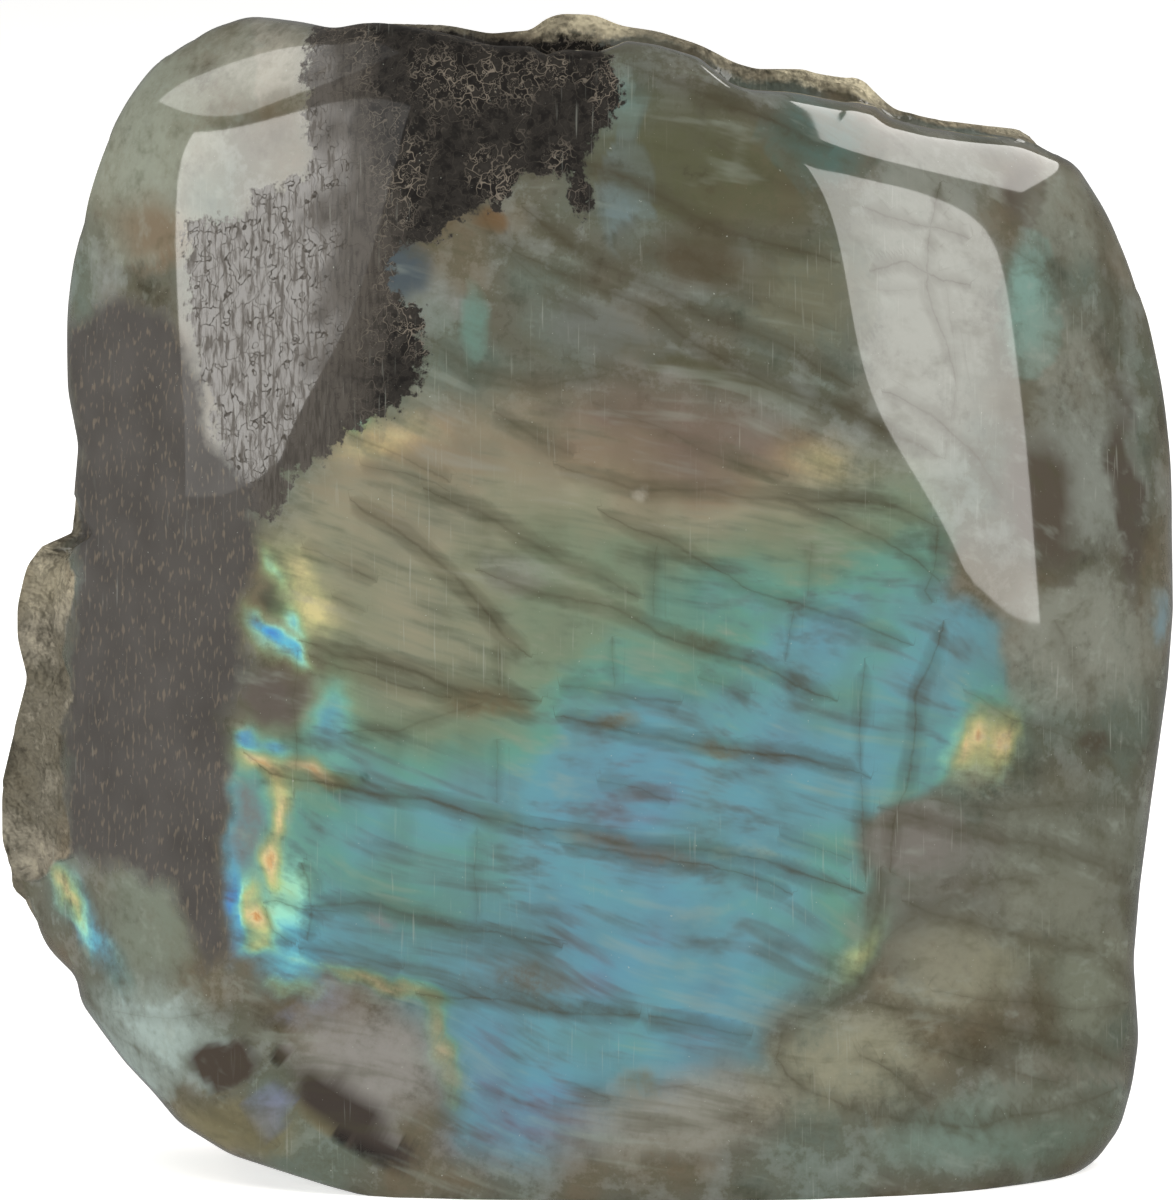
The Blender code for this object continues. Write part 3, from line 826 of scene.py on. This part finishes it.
dimmed = add("Math", dimmed, add("MapRange", veins, -0.3, 0.15, 0.72, 1.0), operation="MULTIPLY")
flashing = add("Math", flashing, dimmed, operation="MULTIPLY")
colour = add("Mix", flashing, body, soft_flash, data_type="RGBA")
TINT_OVER_FLASH = 0.8
tinting = add("Math", tinting, TINT_OVER_FLASH, operation="MULTIPLY")
colour = add("Mix", tinting, colour, tint_colour, data_type="RGBA")
fire_share = add("Attribute", attribute_name="fire", out=2)
burning = add("Math", around_one, add("MapRange", streaks, 0.3, 0.6, 0.6, 1.2), operation="MULTIPLY")
burning = add("Math", burning, fire_share, operation="MULTIPLY", use_clamp=True)
colour = add("Mix", burning, colour, bright_fire, data_type="RGBA")

# Painted shade darkens the colour of the right flank, and cleavage shows as pale and dark streaks.
flank = add("Attribute", attribute_name="shade", out=2)
shaded = add("Mix", 1.0, colour, "d4d4cc", data_type="RGBA", blend_type="MULTIPLY")
colour = add("Mix", flank, colour, shaded, data_type="RGBA")
dark_streaks = add("MapRange", streaks, 0.50, 0.24, 0.0, 0.45, interpolation_type="SMOOTHSTEP")
colour = add("Mix", dark_streaks, colour, DARK_OLIVE, data_type="RGBA")
pale_streaks = add("MapRange", streaks, 0.55, 0.75, 0.0, 0.3, interpolation_type="SMOOTHSTEP")
colour = add("Mix", pale_streaks, colour, "8e968c", data_type="RGBA")

# The larger fissures: dark olive lines of uneven width, each a thin core with a wide soft shade beside it.
LEAST_WIDTH = 0.03
CORE_STRENGTH = 0.85
SHADE_WIDTH, SHADE_STRENGTH = 4.2, 0.6
wander = add("Attribute", attribute_name="wander", out=2)
wander = add("Math", finer, 0.5, wander, operation="MULTIPLY_ADD")
uneven = add("MapRange", add("Attribute", attribute_name="unevenness", out=2), -0.3, 0.3, 0.35, 1.6)
fissure = 0.0
for number in range(len(sets)):
    read = add("Attribute", attribute_name=f"fissures {number}", out=1)
    distance, strength, width = (add("SeparateXYZ", read, out=axis) for axis in range(3))
    away = add("Math", add("Math", distance, wander, operation="ADD"), operation="ABSOLUTE")
    width = add("Math", add("Math", width, uneven, operation="MULTIPLY"), LEAST_WIDTH, operation="MAXIMUM")
    away = add("Math", away, width, operation="DIVIDE")
    core = add("MapRange", away, 1.0, 0.0, 0.0, CORE_STRENGTH)
    shade = add("MapRange", away, SHADE_WIDTH, 0.0, 0.0, SHADE_STRENGTH)
    line = add("Math", add("Math", core, shade, operation="MAXIMUM"), strength, operation="MULTIPLY")
    fissure = add("Math", fissure, line, operation="MAXIMUM")
fissure = add("Math", fissure, add("MapRange", streaks, 0.3, 0.65, 1.0, 0.6), operation="MULTIPLY")
colour = add("Mix", fissure, colour, "403b2a", data_type="RGBA")

# Black rock, crazed by fine cracks, drawn as pale brown grey lines: painted glints of the light that the
# cracks catch. On the left it is brown and its cracks stand upright. The cracks are drawn on a plane that
# leans back, which fits both the front and the top. Their cells and the curl of their lines have these
# sizes, and a line moves by up to this much.
LEANING_BACK = math.radians(-60)
CELLS, UPRIGHT_CELLS = 1.9, 1.1
CURL, CURLED_BY = 1.3, 2.8
rock_depth = add("Attribute", attribute_name="black rock", out=2)
rock = add("Math", ragged, 3.5, rock_depth, operation="MULTIPLY_ADD")
rock = add("MapRange", rock, -0.2, 0.3)
upright_depth = add("Attribute", attribute_name="upright cracks", out=2)
uprightness = add("MapRange", add("Math", ragged, 4.0, upright_depth, operation="MULTIPLY_ADD"), -2.5, 2.5)
flat = add("Mapping", here, (0, 0, 0), (LEANING_BACK, 0, 0), (1.0, 1.0, 1.0))
curl = add("TexNoise", flat, 1 / (CURL * MM), 1.0, 0.55, out=1, noise_dimensions="2D")
curled = add("VectorMath", curl, (CURLED_BY * MM, CURLED_BY * MM, 0.0), flat, operation="MULTIPLY_ADD")
edge = add("TexVoronoi", curled, 1 / (CELLS * MM), feature="DISTANCE_TO_EDGE", voronoi_dimensions="2D")
cracks = add("MapRange", edge, 0.055, 0.0, interpolation_type="SMOOTHSTEP")
fine_cracks = add("Math", finer, operation="ABSOLUTE")
fine_cracks = add("MapRange", fine_cracks, 0.020, 0.0, 0.0, 0.8, interpolation_type="SMOOTHSTEP")
cracks = add("Math", cracks, fine_cracks, operation="MAXIMUM")
cracks = add("Math", cracks, add("MapRange", veins, -0.12, 0.2, 0.08, 1.0), operation="MULTIPLY")
upright_cells = add("Mapping", curled, (0, 0, 0), (0, 0, 0), (1.1, 0.5, 1.0))
edge = add(
    "TexVoronoi",
    upright_cells,
    1 / (UPRIGHT_CELLS * MM),
    feature="DISTANCE_TO_EDGE",
    voronoi_dimensions="2D",
)
upright_cracks = add("MapRange", edge, 0.08, 0.0, interpolation_type="SMOOTHSTEP")
frayed = add("MapRange", brushing, 0.42, 0.66, 0.0, 0.8)
upright_cracks = add("Math", upright_cracks, frayed, operation="MAXIMUM")
black = add("Mix", add("MapRange", specks, 0.35, 0.7), "181614", "2f2c28", data_type="RGBA")
# The pale lines of the cracks are painted glints.
black = add("Mix", add("Math", cracks, 0.85, operation="MULTIPLY"), black, "7d7468", data_type="RGBA")
brown = add("Mix", add("MapRange", brushing, 0.35, 0.65), "3f3b36", "57524c", data_type="RGBA")
brown = add("Mix", add("Math", upright_cracks, 0.5, operation="MULTIPLY"), brown, "35312c", data_type="RGBA")
rock_colour = add("Mix", uprightness, black, brown, data_type="RGBA")
colour = add("Mix", rock, colour, rock_colour, data_type="RGBA")
in_rock = add("Mix", uprightness, cracks, upright_cracks, data_type="FLOAT")
in_rock = add("Math", in_rock, rock, operation="MULTIPLY")

# The dull band, with short upright pale flecks, drawn coarser than real.
FLECKS = 0.30
band_depth = add("Attribute", attribute_name="dull band", out=2)
band = add("MapRange", add("Math", ragged, 1.6, band_depth, operation="MULTIPLY_ADD"), -0.8, 1.0)
fleck = add("Mapping", flat, (0, 0, 0), (0, 0, 0), (1.0, 0.30, 1.0))
fleck = add("TexNoise", fleck, 1 / (FLECKS * MM), 1.0, 0.5, noise_dimensions="2D")
band_colour = add("Mix", add("MapRange", veins, -0.4, 0.4), "403d3a", "4e4b48", data_type="RGBA")
flecks = add("MapRange", fleck, 0.60, 0.76, 0.0, 0.5)
band_colour = add("Mix", flecks, band_colour, "756a5a", data_type="RGBA")
colour = add("Mix", band, colour, band_colour, data_type="RGBA")

# Natural rind: grey and brown, pitted, a little rusty, with fresh breaks and dark lines. It is paler on the
# top ledge, partly by painted light from above, and on the left shoulder by its own cream.
rind_share = add("Attribute", attribute_name="natural", out=2)
rind = add("MapRange", add("Math", ragged, 0.6, rind_share, operation="MULTIPLY_ADD"), 0.35, 0.65)
rind_colour = add(
    "ValToRGB",
    add("MapRange", mottle, -0.5, 0.5),
    stops=((0.12, "48443a"), (0.9, "97917f"), (0.32, "635e51"), (0.52, "757063"), (0.70, "807a6c")),
)
rusty = add("MapRange", clouds, 0.02, 0.25, 0.0, 0.22, interpolation_type="SMOOTHSTEP")
rind_colour = add("Mix", rusty, rind_colour, "7a6140", data_type="RGBA")
fresh = add("MapRange", clouds, -0.04, -0.2, 0.0, 0.35, interpolation_type="SMOOTHSTEP")
rind_colour = add("Mix", fresh, rind_colour, body, data_type="RGBA")
# Paler rind: its own tan and cream, and on the top ledge painted light from above as well.
pale_share = add("Attribute", attribute_name="pale and lit rind", out=2)
paleness = add("Math", pale_share, around_one, operation="MULTIPLY")
paleness = add("Math", paleness, 0.85, operation="MULTIPLY", use_clamp=True)
rind_colour = add("Mix", paleness, rind_colour, "cac0a4", data_type="RGBA")
dark_lines = add("Math", dark_streaks, vein, operation="ADD")
rind_colour = add("Mix", dark_lines, rind_colour, "2f2b22", data_type="RGBA")
colour = add("Mix", rind, colour, rind_colour, data_type="RGBA")

# Lint and dust lie on the polish as tiny pale specks, and fine upright scratches run over it, drawn coarser
# than real. They come in patches.
SCRATCHES, ALONG_SCRATCHES = 0.28, (1.0, 0.06, 1.0)
dust = add("MapRange", lint, 0.76, 0.84, 0.0, 0.5)
scratch = add("Mapping", flat, (0, 0, 0), (0, 0, 0.02), ALONG_SCRATCHES)
scratch = add("TexNoise", scratch, 1 / (SCRATCHES * MM), 1.0, 0.5, noise_dimensions="2D")
scratch = add("MapRange", scratch, 0.68, 0.84, 0.0, 0.2)
scratch = add("Math", scratch, add("MapRange", clouds, 0.0, 0.16), operation="MULTIPLY")
worn = add("Math", dust, scratch, operation="MAXIMUM")
colour = add("Mix", worn, colour, "aeb2a8", data_type="RGBA")

# Gloss: the polish is a clear coat over the stone, and cracks, the band, the crumbly part of the black rock
# and the rind break it. Rind is rough, and its veins and crumbs stand out by a little. A polished feldspar
# bends light by this index.
POLISHED, BROKEN = 0.08, 0.85
INDEX = 1.56
CRUMBS, CRUMB_HEIGHT = 0.8, 1.2
dull = add("Math", add("Math", band, 0.8, operation="MULTIPLY"), rind, operation="MAXIMUM")
polished_rock = add("Attribute", attribute_name="polished rock", out=2)
black_dull = add("Math", add("Math", 1.0, polished_rock, operation="SUBTRACT"), rock, operation="MULTIPLY")
black_dull = add("Math", add("Math", black_dull, 0.9, operation="MULTIPLY"), dull, operation="MAXIMUM")
dull = add("Math", in_rock, black_dull, operation="MAXIMUM")
polish = add("Math", 1.0, dull, operation="SUBTRACT", use_clamp=True)
roughness = add("MapRange", dull, 0.0, 1.0, POLISHED, BROKEN)
crumbs = add("TexNoise", here, 1 / (CRUMBS * MM), 1.0, 0.6)
relief = add("Math", veins, 2.5, crumbs, operation="MULTIPLY_ADD")
relief = add("Math", relief, rind_share, operation="MULTIPLY")
bump = add("Bump", 0.9, CRUMB_HEIGHT * MM, None, relief)
shader = add(
    "BsdfPrincipled",
    named={
        "Base Color": colour,
        "Roughness": roughness,
        "IOR": INDEX,
        "Specular IOR Level": 0.12,
        "Coat Weight": polish,
        "Coat Roughness": 0.05,
        "Coat IOR": INDEX,
        "Normal": bump,
    },
)
add("OutputMaterial", shader)

# Edges sharper than this stay crisp.
CRISP_ANGLE = math.radians(40)
for polygon in stone_mesh.polygons:
    polygon.use_smooth = True
stone_mesh.set_sharp_from_angle(angle=CRISP_ANGLE)
stone_mesh.materials.append(feldspar)
stone = bpy.data.objects.new("labradorite_stone", stone_mesh)
bpy.context.scene.collection.objects.link(stone)
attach(stone, "root")
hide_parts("stone")

# The floor
# A plain sheet of matt white board, wide enough to fill the view. It glows a little, so that the eye gets
# an even white ground with only a faint shadow. The polish doesn't mirror it, because that would lay a
# milky veil over it.
FLOOR_SIZE = 5.0
floor_shape = bmesh.new()
bmesh.ops.create_grid(floor_shape, x_segments=1, y_segments=1, size=FLOOR_SIZE / 2)
floor_mesh = bpy.data.meshes.new("floor")
floor_shape.to_mesh(floor_mesh)
floor_shape.free()
board = bpy.data.materials.new("matt white board")
board.use_nodes = True
board_shader = board.node_tree.nodes["Principled BSDF"]
board_shader.inputs["Base Color"].default_value = from_hex("f0f0ee")
board_shader.inputs["Emission Color"].default_value = from_hex("ffffff")
board_shader.inputs["Emission Strength"].default_value = 0.6
board_shader.inputs["Roughness"].default_value = 0.9
floor_mesh.materials.append(board)
floor = bpy.data.objects.new("floor", floor_mesh)
floor.visible_glossy = False
bpy.context.scene.collection.objects.link(floor)

# The light
# Soft boxes stand at both sides and show in the polish as pale windows. One more above the camera and one
# behind fill the rest without showing in the polish, and the room gives a low even light.
ROOM_LIGHT = 0.18

# Each box: name, degrees to the right, degrees up, distance, width and height in metres, watts, and whether
# it shows in the polish. All of them aim at the middle of the stone.
SOFT_BOXES = (
    ("left box", -63.5, 10, 0.9, 0.66, 0.53, 4.9, True),
    ("right box", 68, 14, 0.9, 0.50, 0.62, 3.6, True),
    ("left top box", -93, 41, 0.9, 0.42, 0.34, 1.0, True),
    ("right top box", 122, 38, 0.9, 0.52, 0.24, 1.3, True),
    ("front box", 0, 58, 1.0, 0.9, 0.4, 3.6, False),
    ("back box", 140, 42, 1.2, 0.7, 0.7, 5.0, False),
)
aim = Vector(HEART) * MM
for name, azimuth, elevation, distance, width, height_of_box, watts, shows in SOFT_BOXES:
    turn, rise = math.radians(azimuth), math.radians(elevation)
    way = Vector((math.sin(turn) * math.cos(rise), -math.cos(turn) * math.cos(rise), math.sin(rise)))
    light = bpy.data.lights.new(name, "AREA")
    light.shape = "RECTANGLE"
    light.size, light.size_y = width, height_of_box
    light.energy = watts
    light.color = from_hex("fffdf9")[:3]
    lamp = bpy.data.objects.new(name, light)
    lamp.location = aim + way * distance
    lamp.rotation_euler = way.to_track_quat("Z", "Y").to_euler()
    lamp.visible_camera = False
    lamp.visible_glossy = shows
    bpy.context.scene.collection.objects.link(lamp)
world = bpy.data.worlds.new("room")
world.use_nodes = True
world.node_tree.nodes["Background"].inputs["Color"].default_value = (ROOM_LIGHT, ROOM_LIGHT, ROOM_LIGHT, 1)
bpy.context.scene.world = world
bpy.context.scene.view_settings.view_transform = "Standard"

# The camera
# It stands straight in front and looks down a little. This is the eye that the places on the stone are
# counted from.
SENSOR = 36.0
camera_data = bpy.data.cameras.new("camera")
camera_data.sensor_fit = "VERTICAL"
camera_data.sensor_height = SENSOR
camera_data.lens = SENSOR * EYE_DISTANCE / (VIEW_HEIGHT * STEP)
camera = bpy.data.objects.new("camera", camera_data)
tilt = math.radians(LOOKING_DOWN)
camera.location = (Vector(LOOKED_AT) + EYE_DISTANCE * Vector((0, -math.cos(tilt), math.sin(tilt)))) * MM
camera.rotation_euler = (math.pi / 2 - tilt, 0, 0)
bpy.context.scene.collection.objects.link(camera)
bpy.context.scene.camera = camera
